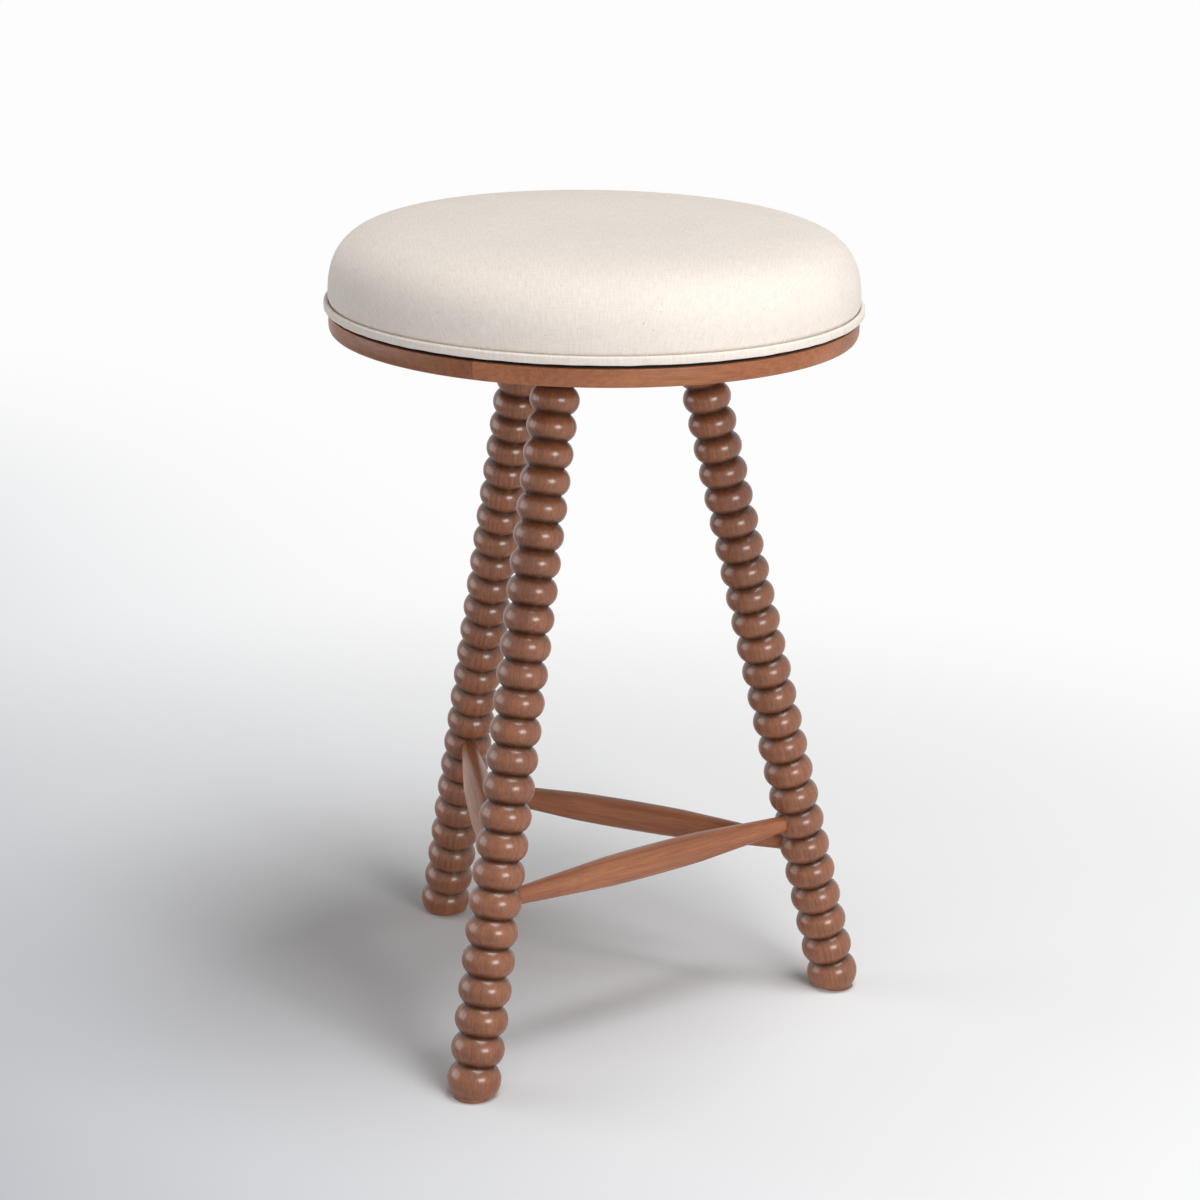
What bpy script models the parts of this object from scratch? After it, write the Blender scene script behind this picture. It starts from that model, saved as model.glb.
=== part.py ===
"""A round counter stool: three bobbin-turned legs, three stretchers and a padded seat on a wooden ring."""

import math

import bmesh
import bpy
from mathutils import Matrix, Vector

# Clearances between pieces that touch on the real stool
CLEAR = 0.0003

# Legs, turned as a row of beads that grow a little smaller toward the top, and splayed outward.
# The pitch and radii are those of the middle bead; each taper is the share gained at the foot.
BEADS = 25
BEAD_PITCH = 0.0227
PITCH_TAPER = 0.0686
BEAD_RADIUS = 0.0207
NECK_RADIUS = 0.0146
RADIUS_TAPER = 0.0415
BEAD_SHOULDER_SHARE = 0.57
FIRST_BEAD_HEIGHT = 0.0145
FOOT_LIP_HEIGHT = 0.0030
FOOT_LIP_SET_IN = 0.0005
LEG_FOOT_CIRCLE = 0.2193
LEG_TOP_CIRCLE = 0.0804
LEG_TWIST = math.radians(5.0)
LEG_AZIMUTHS = {"front": -90.0, "right": 30.0, "rear": 150.0}
TENON_RADIUS = 0.0120
TENON_OVERLAP = 0.0100
LEG_SIDES = 10

# The wedge that is driven into a saw cut in the top of each leg tenon
WEDGE_TOP_WIDTH = 0.0024
WEDGE_TIP_WIDTH = 0.0008
WEDGE_DEPTH = 0.0090

# Stretchers, level, one bead lower from one pair of legs to the next
STRETCHERS = {
    "stretcher_low": ("right", "rear", 6),
    "stretcher_middle": ("front", "right", 7),
    "stretcher_high": ("rear", "front", 8),
}
STRETCHER_END_RADIUS = 0.0072
STRETCHER_BREAK_RADIUS = 0.0123
STRETCHER_MIDDLE_RADIUS = 0.0129
STRETCHER_TAPER_SHARE = 0.32
STRETCHER_SWELL_SHARE = 0.75
STRETCHER_COLLAR = 0.0036
SOCKET_DEPTH = 0.0140
STRETCHER_SIDES = 12

# Wooden seat frame: a core board inside a ring of four glued segments
SEAT_UNDERSIDE = 0.5831
FRAME_THICKNESS = 0.0147
RING_RADIUS = 0.2132
RING_WIDTH = 0.0280
RING_TOP_ARRIS = 0.0005
RING_EDGE_HEIGHT = 0.0055
RING_EDGE_SET_IN = 0.0026
RING_EDGE_STEPS = 3
RING_JOINT_AZIMUTH = math.radians(-91.4)
RING_SEGMENTS = 4
SEGMENT_STEPS = 9
TONGUE_LENGTH = 0.0080
TONGUE_THICKNESS = 0.0050
SPLINE_WIDTH = 0.0110
SPLINE_LENGTH = 0.0200
SPLINE_THICKNESS = 0.0040
SPLINE_FROM_EDGE = 0.0098

# Upholstered pad, from the black lining cloth up to the crown
LINING_THICKNESS = 0.0024
LINING_INSET = 0.0027
FABRIC_THICKNESS = 0.0012
FABRIC_TURN_UNDER = 0.0300
BOARD_THICKNESS = 0.0120
BOARD_CHAMFER = 0.0020
PAD_OVERHANG = 0.0004
PAD_SEAM_DRAW_IN = 0.0008
CROWN_START_ABOVE_SEAM = 0.0035
CROWN_HEIGHT = 0.0586
CROWN_FLATNESS = 8.5
CROWN_SHOULDER = 2.5
CROWN_RINGS = 8
SEAM_HEIGHT = 0.0070
BAND_PROUD = 0.0032
BAND_EDGE_HEIGHT = 0.0021
BAND_EDGE_SET_IN = 0.0011

# Fastenings
SCREW_COUNT = 3
SCREW_FROM_EDGE = 0.0682
SCREW_RADIUS = 0.0020
SCREW_HEAD_RADIUS = 0.0042
SCREW_HEAD_HEIGHT = 0.0026
SCREW_BITE = 0.0090
SCREW_RIM_HEIGHT = 0.0003
SCREW_POINT_LENGTH = 0.0010
SCREW_POINT_RADIUS = 0.0010
SCREW_SIDES = 10
DRIVER_SLOT_LENGTH = 0.0059
DRIVER_SLOT_DEPTH = 0.0012
DRIVER_SLOT_WIDTH = 0.0010
STAPLE_COUNT = 12
STAPLE_WIDTH = 0.0100
STAPLE_WIRE = 0.0007
STAPLE_LEG = 0.0080
STAPLE_FROM_EDGE = 0.0160

# Colours
WOOD = (0.235, 0.088, 0.048)
PALE_WOOD = (0.560, 0.400, 0.240)
LINEN = (0.700, 0.640, 0.560)
FOAM = (0.880, 0.820, 0.620)
BLACK_CLOTH = (0.012, 0.012, 0.012)
STEEL = (0.550, 0.550, 0.560)

# Sizes and heights that follow from the sizes above
SEAT_STEPS = RING_SEGMENTS * SEGMENT_STEPS
PAD_RADIUS = RING_RADIUS + PAD_OVERHANG
SCREW_CIRCLE = RING_RADIUS - SCREW_FROM_EDGE
FRAME_TOP = SEAT_UNDERSIDE + FRAME_THICKNESS
LINING_BOTTOM = FRAME_TOP + CLEAR
LINING_TOP = LINING_BOTTOM + LINING_THICKNESS
PAD_BOTTOM = LINING_TOP + CLEAR
BOARD_BOTTOM = PAD_BOTTOM + FABRIC_THICKNESS + CLEAR
BOARD_TOP = BOARD_BOTTOM + BOARD_THICKNESS
FOAM_BOTTOM = BOARD_TOP + CLEAR
SEAM = PAD_BOTTOM + SEAM_HEIGHT
CROWN_START = SEAM + CROWN_START_ABOVE_SEAM


def clear_scene():
    for item in list(bpy.data.objects):
        bpy.data.objects.remove(item, do_unlink=True)


def close_and_orient(bm):
    bmesh.ops.remove_doubles(bm, verts=bm.verts[:], dist=1e-6)
    bmesh.ops.holes_fill(bm, edges=bm.edges[:], sides=0)
    bmesh.ops.recalc_face_normals(bm, faces=bm.faces[:])
    if bm.calc_volume(signed=True) < 0:
        bmesh.ops.reverse_faces(bm, faces=bm.faces[:])


def turned(points, steps, closed=False, angle=2 * math.pi, start=0.0):
    """Spin (radius, height) points about Z. A closed outline makes a ring."""
    bm = bmesh.new()
    verts = [bm.verts.new((r * math.cos(start), r * math.sin(start), z)) for r, z in points]
    edges = [bm.edges.new(pair) for pair in zip(verts, verts[1:])]
    if closed:
        edges.append(bm.edges.new((verts[-1], verts[0])))
    bmesh.ops.spin(bm, geom=verts + edges, cent=(0, 0, 0), axis=(0, 0, 1), angle=angle, steps=steps)
    close_and_orient(bm)
    return bm


def cut_by_plane(bm, point, normal):
    """Take away what lies beyond the plane and close the cut."""
    geom = bm.verts[:] + bm.edges[:] + bm.faces[:]
    bmesh.ops.bisect_plane(bm, geom=geom, plane_co=point, plane_no=normal, clear_outer=True)
    close_and_orient(bm)


def add_prism(bm, outline, half_length, place):
    """Extrude an (x, z) outline by half_length each way along Y, then place it."""
    rows = []
    for y in (-half_length, half_length):
        rows.append([bm.verts.new(place @ Vector((x, y, z))) for x, z in outline])
    low, high = rows
    faces = [bm.faces.new(low), bm.faces.new(list(reversed(high)))]
    for i in range(len(outline)):
        j = (i + 1) % len(outline)
        faces.append(bm.faces.new((low[j], low[i], high[i], high[j])))
    bmesh.ops.recalc_face_normals(bm, faces=faces)


def add_box(bm, size, place):
    x, z = 0.5 * size[0], 0.5 * size[2]
    add_prism(bm, [(-x, -z), (x, -z), (x, z), (-x, z)], 0.5 * size[1], place)


def add_copy(bm, source, place):
    """Add a placed copy of another mesh to this one."""
    table = {v: bm.verts.new(place @ v.co) for v in source.verts}
    for face in source.faces:
        bm.faces.new([table[v] for v in face.verts])


def material(name, colour, roughness, metallic=0.0):
    mat = bpy.data.materials.new(name)
    mat.use_nodes = True
    shader = mat.node_tree.nodes["Principled BSDF"]
    shader.inputs["Base Color"].default_value = (*colour, 1.0)
    shader.inputs["Roughness"].default_value = roughness
    shader.inputs["Metallic"].default_value = metallic
    return mat


def add_object(name, bm, parent, place, look=None):
    mesh = bpy.data.meshes.new(name)
    bm.to_mesh(mesh)
    bm.free()
    item = bpy.data.objects.new(name, mesh)
    bpy.context.collection.objects.link(item)
    item.parent = parent
    item.matrix_local = place
    if look:
        colour, roughness, metallic = look
        mesh.materials.append(material(name + "_look", colour, roughness, metallic))
        mesh.shade_smooth()
        mesh.set_sharp_from_angle(angle=math.radians(35))
    return item


def combine(target, name, bm, parent, place, operation):
    """Join a mesh to the target, or cut it out, with a live Boolean."""
    tool = add_object(name, bm, parent, place)
    tool.hide_render = True
    tool.display_type = "WIRE"
    mod = target.modifiers.new(name, "BOOLEAN")
    mod.operation = operation
    mod.solver = "EXACT"
    mod.object = tool


def leg_frame(leg):
    """Place of a leg: its origin on the floor, its Z up the leg."""
    foot_turn = math.radians(LEG_AZIMUTHS[leg])
    top_turn = foot_turn + LEG_TWIST
    foot = Vector((LEG_FOOT_CIRCLE * math.cos(foot_turn), LEG_FOOT_CIRCLE * math.sin(foot_turn), 0))
    top = Vector((LEG_TOP_CIRCLE * math.cos(top_turn), LEG_TOP_CIRCLE * math.sin(top_turn), SEAT_UNDERSIDE))
    up = (top - foot).normalized()
    side = Vector((-math.sin(foot_turn), math.cos(foot_turn), 0))
    out = side.cross(up).normalized()
    side = up.cross(out)
    turn = Matrix((out, side, up)).transposed().to_4x4()
    return Matrix.Translation(foot) @ turn


def leg_slope():
    """Length along a leg for each metre of height."""
    return 1.0 / leg_frame("front").col[2].z


def bead_height(number):
    """Height up the leg of a bead's middle. Half numbers are the necks between beads."""
    steps = number - 1
    return FIRST_BEAD_HEIGHT + BEAD_PITCH * steps * (1 + PITCH_TAPER * (1 - steps / (BEADS - 1)))


def bead_size(number):
    """How much wider than the middle bead the leg is turned at a bead."""
    return 1 + RADIUS_TAPER * (1 - 2 * (number - 1) / (BEADS - 1))


def bead_point(leg, number):
    return leg_frame(leg) @ Vector((0, 0, bead_height(number)))


def stretcher_frame(start, end, number):
    """Place of a stretcher: its origin on the first leg's centre line, its Z toward the second leg."""
    first = bead_point(start, number)
    second = bead_point(end, number)
    along = (second - first).normalized()
    up = Vector((0, 0, 1))
    side = up.cross(along)
    turn = Matrix((side, along.cross(side), along)).transposed().to_4x4()
    return Matrix.Translation(first) @ turn, (second - first).length


def bead_outline(length):
    """Radii and heights of the turned leg from below the floor to past the seat's underside."""
    half = 0.5 * BEAD_PITCH
    drop = BEAD_RADIUS - NECK_RADIUS
    arc = (half * half + drop * drop) / (2 * drop)
    shoulder_radius = BEAD_RADIUS - arc + math.sqrt(arc * arc - (BEAD_SHOULDER_SHARE * half) ** 2)
    shoulder = 0.5 * BEAD_SHOULDER_SHARE
    foot_neck = NECK_RADIUS * bead_size(0.5)
    # The first bead's lower half is longer than the others and narrows to its neck at the floor
    points = [
        (foot_neck, -FIRST_BEAD_HEIGHT),
        (foot_neck, 0.0),
        (shoulder_radius * bead_size(1 - shoulder), FIRST_BEAD_HEIGHT * (1 - BEAD_SHOULDER_SHARE)),
    ]
    stations = [(0.0, BEAD_RADIUS), (shoulder, shoulder_radius), (0.5, NECK_RADIUS), (1 - shoulder, shoulder_radius)]
    number = 1
    while bead_height(number - 0.5) < length + BEAD_RADIUS:
        for step, radius in stations:
            points.append((radius * bead_size(number + step), bead_height(number + step)))
        number += 1
    return points


def wedge_outline(extra):
    """Cross-section of a wedge, tip down, with its top at the tenon's end."""
    top = 0.5 * WEDGE_TOP_WIDTH + extra
    tip = 0.5 * WEDGE_TIP_WIDTH + extra
    over = TENON_RADIUS
    slope = (WEDGE_TOP_WIDTH - WEDGE_TIP_WIDTH) * 0.5 / WEDGE_DEPTH
    return [(-tip, -WEDGE_DEPTH - extra), (tip, -WEDGE_DEPTH - extra), (top + slope * over, over),
            (-top - slope * over, over)]


def stretcher_outline(length):
    tip = BEAD_RADIUS - SOCKET_DEPTH
    bare = BEAD_RADIUS + STRETCHER_COLLAR
    free = length - 2 * bare
    lower = bare + STRETCHER_TAPER_SHARE * free
    upper = length - lower
    quarter = 0.25 * (upper - lower)
    rise = STRETCHER_MIDDLE_RADIUS - STRETCHER_BREAK_RADIUS
    swell = STRETCHER_BREAK_RADIUS + STRETCHER_SWELL_SHARE * rise
    return [
        (STRETCHER_END_RADIUS, tip),
        (STRETCHER_END_RADIUS, bare),
        (STRETCHER_BREAK_RADIUS, lower),
        (swell, lower + quarter),
        (STRETCHER_MIDDLE_RADIUS, 0.5 * length),
        (swell, upper - quarter),
        (STRETCHER_BREAK_RADIUS, upper),
        (STRETCHER_END_RADIUS, length - bare),
        (STRETCHER_END_RADIUS, length - tip),
    ]


def make_legs(root):
    length = SEAT_UNDERSIDE * leg_slope()
    tenon_top = FRAME_TOP * leg_slope()
    wedge_top = Vector((0, 0, tenon_top))
    lip_radius = NECK_RADIUS * bead_size(0.5) - FOOT_LIP_SET_IN
    for leg in LEG_AZIMUTHS:
        place = leg_frame(leg)
        back = place.inverted()
        up = (back.to_3x3() @ Vector((0, 0, 1))).normalized()
        body = turned(bead_outline(length), LEG_SIDES)
        cut_by_plane(body, back @ Vector((0, 0, FOOT_LIP_HEIGHT)), -up)
        cut_by_plane(body, back @ Vector((0, 0, SEAT_UNDERSIDE - CLEAR)), up)
        item = add_object("leg_" + leg, body, root, place, (WOOD, 0.4, 0.0))

        ends = turned([(lip_radius, -FIRST_BEAD_HEIGHT), (lip_radius, FIRST_BEAD_HEIGHT)], LEG_SIDES)
        cut_by_plane(ends, back @ Vector((0, 0, 0)), -up)
        tenon_over = tenon_top + TENON_RADIUS
        tenon = turned([(TENON_RADIUS, length - TENON_OVERLAP), (TENON_RADIUS, tenon_over)], LEG_SIDES)
        cut_by_plane(tenon, back @ Vector((0, 0, FRAME_TOP)), up)
        add_copy(ends, tenon, Matrix.Identity(4))
        tenon.free()
        combine(item, "ends_" + leg, ends, root, place, "UNION")

        cuts = bmesh.new()
        kerf_place = Matrix.Translation(wedge_top)
        add_prism(cuts, wedge_outline(CLEAR), 2 * TENON_RADIUS, kerf_place)
        for start, end, number in STRETCHERS.values():
            if leg not in (start, end):
                continue
            frame, span = stretcher_frame(start, end, number)
            near = BEAD_RADIUS - SOCKET_DEPTH - CLEAR
            far = 2 * BEAD_RADIUS
            ends = (near, far) if leg == start else (span - far, span - near)
            radius = STRETCHER_END_RADIUS + CLEAR
            socket = turned([(radius, ends[0]), (radius, ends[1])], STRETCHER_SIDES)
            add_copy(cuts, socket, back @ frame)
            socket.free()
        combine(item, "cuts_" + leg, cuts, root, place, "DIFFERENCE")

        wedge = bmesh.new()
        half = math.sqrt(TENON_RADIUS ** 2 - WEDGE_TOP_WIDTH ** 2) * math.cos(math.pi / LEG_SIDES)
        add_prism(wedge, wedge_outline(0.0), half, Matrix.Translation(wedge_top))
        cut_by_plane(wedge, back @ Vector((0, 0, FRAME_TOP)), up)
        add_object("tenon_wedge_" + leg, wedge, root, place, (PALE_WOOD, 0.6, 0.0))


def make_stretchers(root):
    for name, (start, end, number) in STRETCHERS.items():
        place, length = stretcher_frame(start, end, number)
        bar = turned(stretcher_outline(length), STRETCHER_SIDES)
        add_object(name, bar, root, place, (WOOD, 0.4, 0.0))


def screw_angles():
    first = math.radians(LEG_AZIMUTHS["front"]) + math.pi / SCREW_COUNT
    return [first + 2 * math.pi * i / SCREW_COUNT for i in range(SCREW_COUNT)]


def screw_outline(extra):
    """A countersunk screw, or with some extra the hole that it sits in."""
    head = SEAT_UNDERSIDE + SCREW_HEAD_HEIGHT
    tip = BOARD_BOTTOM + SCREW_BITE
    mouth = SEAT_UNDERSIDE - (SCREW_HEAD_HEIGHT if extra else 0.0)
    return [
        (SCREW_HEAD_RADIUS + extra, mouth),
        (SCREW_HEAD_RADIUS + extra, SEAT_UNDERSIDE + SCREW_RIM_HEIGHT),
        (SCREW_RADIUS + extra, head),
        (SCREW_RADIUS + extra, tip - SCREW_POINT_LENGTH),
        (SCREW_POINT_RADIUS + extra, tip + extra),
    ]


def around_axis(radius, angle, height=0.0):
    spot = Vector((radius * math.cos(angle), radius * math.sin(angle), height))
    return Matrix.Translation(spot) @ Matrix.Rotation(angle, 4, "Z")


def screw_holes():
    """The screws' shapes grown by the clearance, as one cutter."""
    bm = bmesh.new()
    hole = turned(screw_outline(CLEAR), SCREW_SIDES)
    for angle in screw_angles():
        add_copy(bm, hole, around_axis(SCREW_CIRCLE, angle))
    hole.free()
    return bm


def ring_inner():
    return RING_RADIUS - RING_WIDTH


def tongue_outline(radius, extra):
    """Edge of the core board, or the ring's groove, from bottom to top."""
    middle = SEAT_UNDERSIDE + 0.5 * FRAME_THICKNESS
    half = 0.5 * TONGUE_THICKNESS + extra
    return [(radius, middle - half), (radius + TONGUE_LENGTH, middle - half),
            (radius + TONGUE_LENGTH, middle + half), (radius, middle + half)]


def make_core(root, still):
    edge = ring_inner() - CLEAR
    outline = [(edge, SEAT_UNDERSIDE), *tongue_outline(edge, 0.0), (edge, FRAME_TOP)]
    core = turned(outline, SEAT_STEPS, start=RING_JOINT_AZIMUTH)
    item = add_object("seat_core", core, root, still, (WOOD, 0.45, 0.0))
    cuts = screw_holes()
    radius = TENON_RADIUS + CLEAR
    low = SEAT_UNDERSIDE * leg_slope() - 2 * TENON_RADIUS
    high = FRAME_TOP * leg_slope() + 2 * TENON_RADIUS
    for leg in LEG_AZIMUTHS:
        hole = turned([(radius, low), (radius, high)], LEG_SIDES)
        add_copy(cuts, hole, leg_frame(leg))
        hole.free()
    combine(item, "core_holes", cuts, root, still, "DIFFERENCE")


def ring_outline():
    inner = ring_inner()
    groove = [(r + (CLEAR if r > inner else 0.0), z) for r, z in tongue_outline(inner, CLEAR)]
    outline = [
        (inner, SEAT_UNDERSIDE),
        *groove,
        (inner, FRAME_TOP),
        (RING_RADIUS - RING_TOP_ARRIS, FRAME_TOP),
        (RING_RADIUS, FRAME_TOP - RING_TOP_ARRIS),
    ]
    for i in range(RING_EDGE_STEPS + 1):
        turn = 0.5 * math.pi * i / RING_EDGE_STEPS
        set_in = RING_EDGE_SET_IN * (1 - math.cos(turn))
        height = RING_EDGE_HEIGHT * (1 - math.sin(turn))
        outline.append((RING_RADIUS - set_in, SEAT_UNDERSIDE + height))
    return outline


def make_ring(root, still):
    quarter = 2 * math.pi / RING_SEGMENTS
    gap = CLEAR / RING_RADIUS
    spline_radius = RING_RADIUS - SPLINE_FROM_EDGE
    middle = SEAT_UNDERSIDE + 0.5 * FRAME_THICKNESS
    spline_size = (SPLINE_WIDTH, SPLINE_LENGTH, SPLINE_THICKNESS)
    slot_size = [side + 2 * CLEAR for side in spline_size]
    joints = [RING_JOINT_AZIMUTH + quarter * i for i in range(RING_SEGMENTS)]
    for i, joint in enumerate(joints):
        start = joint + 0.5 * gap
        segment = turned(ring_outline(), SEGMENT_STEPS, closed=True, angle=quarter - gap, start=start)
        item = add_object("seat_ring_segment_%d" % (i + 1), segment, root, still, (WOOD, 0.4, 0.0))
        slots = bmesh.new()
        for end in (joint, joint + quarter):
            add_box(slots, slot_size, around_axis(spline_radius, end, middle))
        combine(item, "ring_slots_%d" % (i + 1), slots, root, still, "DIFFERENCE")
        spline = bmesh.new()
        add_box(spline, spline_size, Matrix.Identity(4))
        place = around_axis(spline_radius, joint, middle)
        add_object("ring_spline_%d" % (i + 1), spline, root, place, (PALE_WOOD, 0.6, 0.0))


def crown_outline(inset):
    """Pad outline from its side, up over the crown to the middle, set in by the inset."""
    radius = PAD_RADIUS - inset
    top = CROWN_START + CROWN_HEIGHT - inset
    points = []
    for i in range(CROWN_RINGS + 1):
        turn = 0.5 * math.pi * i / CROWN_RINGS
        r = radius * math.cos(turn) ** (2 / CROWN_FLATNESS)
        z = CROWN_START + (top - CROWN_START) * math.sin(turn) ** (2 / CROWN_SHOULDER)
        points.append((r if i < CROWN_RINGS else 0.0, z))
    return points


def staple_places():
    radius = PAD_RADIUS - STAPLE_FROM_EDGE
    angles = [RING_JOINT_AZIMUTH + 2 * math.pi * (i + 0.5) / STAPLE_COUNT for i in range(STAPLE_COUNT)]
    return [around_axis(radius, angle, PAD_BOTTOM) for angle in angles]


def staple_slots(bottom, top):
    bm = bmesh.new()
    width = STAPLE_WIRE + 2 * CLEAR
    length = STAPLE_WIDTH + 2 * CLEAR
    for place in staple_places():
        lift = Matrix.Translation((0, 0, 0.5 * (bottom + top) - PAD_BOTTOM))
        add_box(bm, (width, length, top - bottom), place @ lift)
    return bm


def make_pad(root, still):
    skin = FABRIC_THICKNESS
    fill = skin + CLEAR
    turn_in = PAD_RADIUS - FABRIC_TURN_UNDER
    seam_radius = PAD_RADIUS - PAD_SEAM_DRAW_IN
    turn = BOARD_CHAMFER + skin
    inner_turn = turn + (math.sqrt(2) - 1) * skin
    outer = [(turn_in, PAD_BOTTOM), (seam_radius - turn, PAD_BOTTOM), (seam_radius, PAD_BOTTOM + turn),
             (seam_radius, SEAM), *crown_outline(0.0)]
    under = [(turn_in, PAD_BOTTOM + skin), (seam_radius - inner_turn, PAD_BOTTOM + skin),
             (seam_radius - skin, PAD_BOTTOM + inner_turn), (seam_radius - skin, SEAM), *crown_outline(skin)]
    cover = turned([*outer, *reversed(under), outer[0]], SEAT_STEPS, start=RING_JOINT_AZIMUTH)
    item = add_object("seat_cover", cover, root, still, (LINEN, 0.9, 0.0))
    slots = staple_slots(PAD_BOTTOM - skin, PAD_BOTTOM + 3 * skin)
    combine(item, "cover_slots", slots, root, still, "DIFFERENCE")

    board_radius = seam_radius - fill
    board = turned([(board_radius - BOARD_CHAMFER, BOARD_BOTTOM), (board_radius, BOARD_BOTTOM + BOARD_CHAMFER),
                    (board_radius, BOARD_TOP)], SEAT_STEPS, start=RING_JOINT_AZIMUTH)
    item = add_object("seat_board", board, root, still, (PALE_WOOD, 0.7, 0.0))
    cuts = staple_slots(PAD_BOTTOM - skin, PAD_BOTTOM + STAPLE_LEG + CLEAR)
    holes = screw_holes()
    add_copy(cuts, holes, Matrix.Identity(4))
    holes.free()
    combine(item, "board_holes", cuts, root, still, "DIFFERENCE")

    foam_points = [(board_radius, FOAM_BOTTOM)]
    foam_points += [(r, z) for r, z in crown_outline(fill) if z > FOAM_BOTTOM + CLEAR]
    foam = turned(foam_points, SEAT_STEPS, start=RING_JOINT_AZIMUTH)
    add_object("foam_pad", foam, root, still, (FOAM, 0.9, 0.0))


def make_band(root, still):
    inner = PAD_RADIUS - PAD_SEAM_DRAW_IN + CLEAR
    outer = PAD_RADIUS + BAND_PROUD
    outline = [
        (inner, PAD_BOTTOM),
        (outer - BAND_EDGE_SET_IN, PAD_BOTTOM),
        (outer, PAD_BOTTOM + BAND_EDGE_HEIGHT),
        (outer, SEAM - BAND_EDGE_HEIGHT),
        (outer - BAND_EDGE_SET_IN, SEAM),
        (inner, SEAM),
    ]
    band = turned(outline, SEAT_STEPS, closed=True, start=RING_JOINT_AZIMUTH)
    add_object("cover_band", band, root, still, (LINEN, 0.9, 0.0))


def make_lining(root, still):
    radius = RING_RADIUS - LINING_INSET
    lining = turned([(radius, LINING_BOTTOM), (radius, LINING_TOP)], SEAT_STEPS, start=RING_JOINT_AZIMUTH)
    item = add_object("dust_cover", lining, root, still, (BLACK_CLOTH, 0.95, 0.0))
    combine(item, "lining_holes", screw_holes(), root, still, "DIFFERENCE")


def make_fastenings(root):
    slot_size = (DRIVER_SLOT_LENGTH, DRIVER_SLOT_WIDTH, 2 * DRIVER_SLOT_DEPTH)
    for i, angle in enumerate(screw_angles()):
        place = around_axis(SCREW_CIRCLE, angle)
        screw = turned(screw_outline(0.0), SCREW_SIDES)
        item = add_object("seat_screw_%d" % (i + 1), screw, root, place, (STEEL, 0.3, 1.0))
        slot = bmesh.new()
        add_box(slot, slot_size, Matrix.Translation((0, 0, SEAT_UNDERSIDE)))
        combine(item, "driver_slot_%d" % (i + 1), slot, root, place, "DIFFERENCE")

    half = 0.5 * STAPLE_WIDTH
    wire = STAPLE_WIRE
    outline = [(-half, 0), (half, 0), (half, STAPLE_LEG), (half - wire, STAPLE_LEG),
               (half - wire, wire), (wire - half, wire), (wire - half, STAPLE_LEG), (-half, STAPLE_LEG)]
    quarter_turn = Matrix.Rotation(0.5 * math.pi, 4, "Z")
    for i, place in enumerate(staple_places()):
        staple = bmesh.new()
        add_prism(staple, outline, 0.5 * wire, Matrix.Identity(4))
        add_object("cover_staple_%d" % (i + 1), staple, root, place @ quarter_turn, (STEEL, 0.35, 1.0))


def centre_on_floor(root):
    """Move the whole stool so that the middle of its box stands over the origin."""
    bpy.context.view_layer.update()
    graph = bpy.context.evaluated_depsgraph_get()
    low, high = Vector((1e9, 1e9)), Vector((-1e9, -1e9))
    for item in bpy.data.objects:
        if item.type != "MESH" or item.hide_render:
            continue
        mesh = item.evaluated_get(graph).data
        for vert in mesh.vertices:
            spot = item.matrix_world @ vert.co
            low = Vector((min(low.x, spot.x), min(low.y, spot.y)))
            high = Vector((max(high.x, spot.x), max(high.y, spot.y)))
    middle = 0.5 * (low + high)
    root.location = (-middle.x, -middle.y, 0.0)
    bpy.context.view_layer.update()


def main():
    clear_scene()
    root = bpy.data.objects.new("stool_axis", None)
    bpy.context.collection.objects.link(root)
    still = Matrix.Identity(4)
    make_legs(root)
    make_stretchers(root)
    make_core(root, still)
    make_ring(root, still)
    make_pad(root, still)
    make_band(root, still)
    make_lining(root, still)
    make_fastenings(root)
    centre_on_floor(root)


main()
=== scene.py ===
"""Looks of a round counter stool: bobbin-turned legs, a wooden ring and a taut linen cushion."""

import math

import bmesh
import bpy
from mathutils import Matrix, Vector


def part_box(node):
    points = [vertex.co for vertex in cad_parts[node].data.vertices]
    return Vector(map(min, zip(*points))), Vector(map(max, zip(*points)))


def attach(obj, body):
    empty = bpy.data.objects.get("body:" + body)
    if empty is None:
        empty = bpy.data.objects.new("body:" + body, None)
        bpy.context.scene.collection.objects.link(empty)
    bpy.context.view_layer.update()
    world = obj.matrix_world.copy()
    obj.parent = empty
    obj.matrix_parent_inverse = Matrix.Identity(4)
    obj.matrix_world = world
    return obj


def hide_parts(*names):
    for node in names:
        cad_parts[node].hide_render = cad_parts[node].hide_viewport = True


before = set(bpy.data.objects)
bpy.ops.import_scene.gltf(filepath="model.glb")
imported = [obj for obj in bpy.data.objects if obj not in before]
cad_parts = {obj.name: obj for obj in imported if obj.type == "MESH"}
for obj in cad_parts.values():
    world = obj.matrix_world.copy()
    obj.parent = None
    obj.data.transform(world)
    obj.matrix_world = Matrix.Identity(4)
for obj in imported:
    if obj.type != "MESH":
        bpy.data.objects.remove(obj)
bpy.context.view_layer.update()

# Clearance between pieces that touch, as in the solids
CLEAR = 0.0003

# Corners closer than this are one corner, and heights closer than this are the same height
SAME_SPOT = 1e-6
SAME_HEIGHT = 1e-5

# Creases sharper than this many degrees stay sharp. The stretchers' breaks are slight, and the cushion's
# edges are soft
SMOOTH_BELOW = 35
STRETCHER_SMOOTH_BELOW = 3
CUSHION_SMOOTH_BELOW = 60

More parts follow.
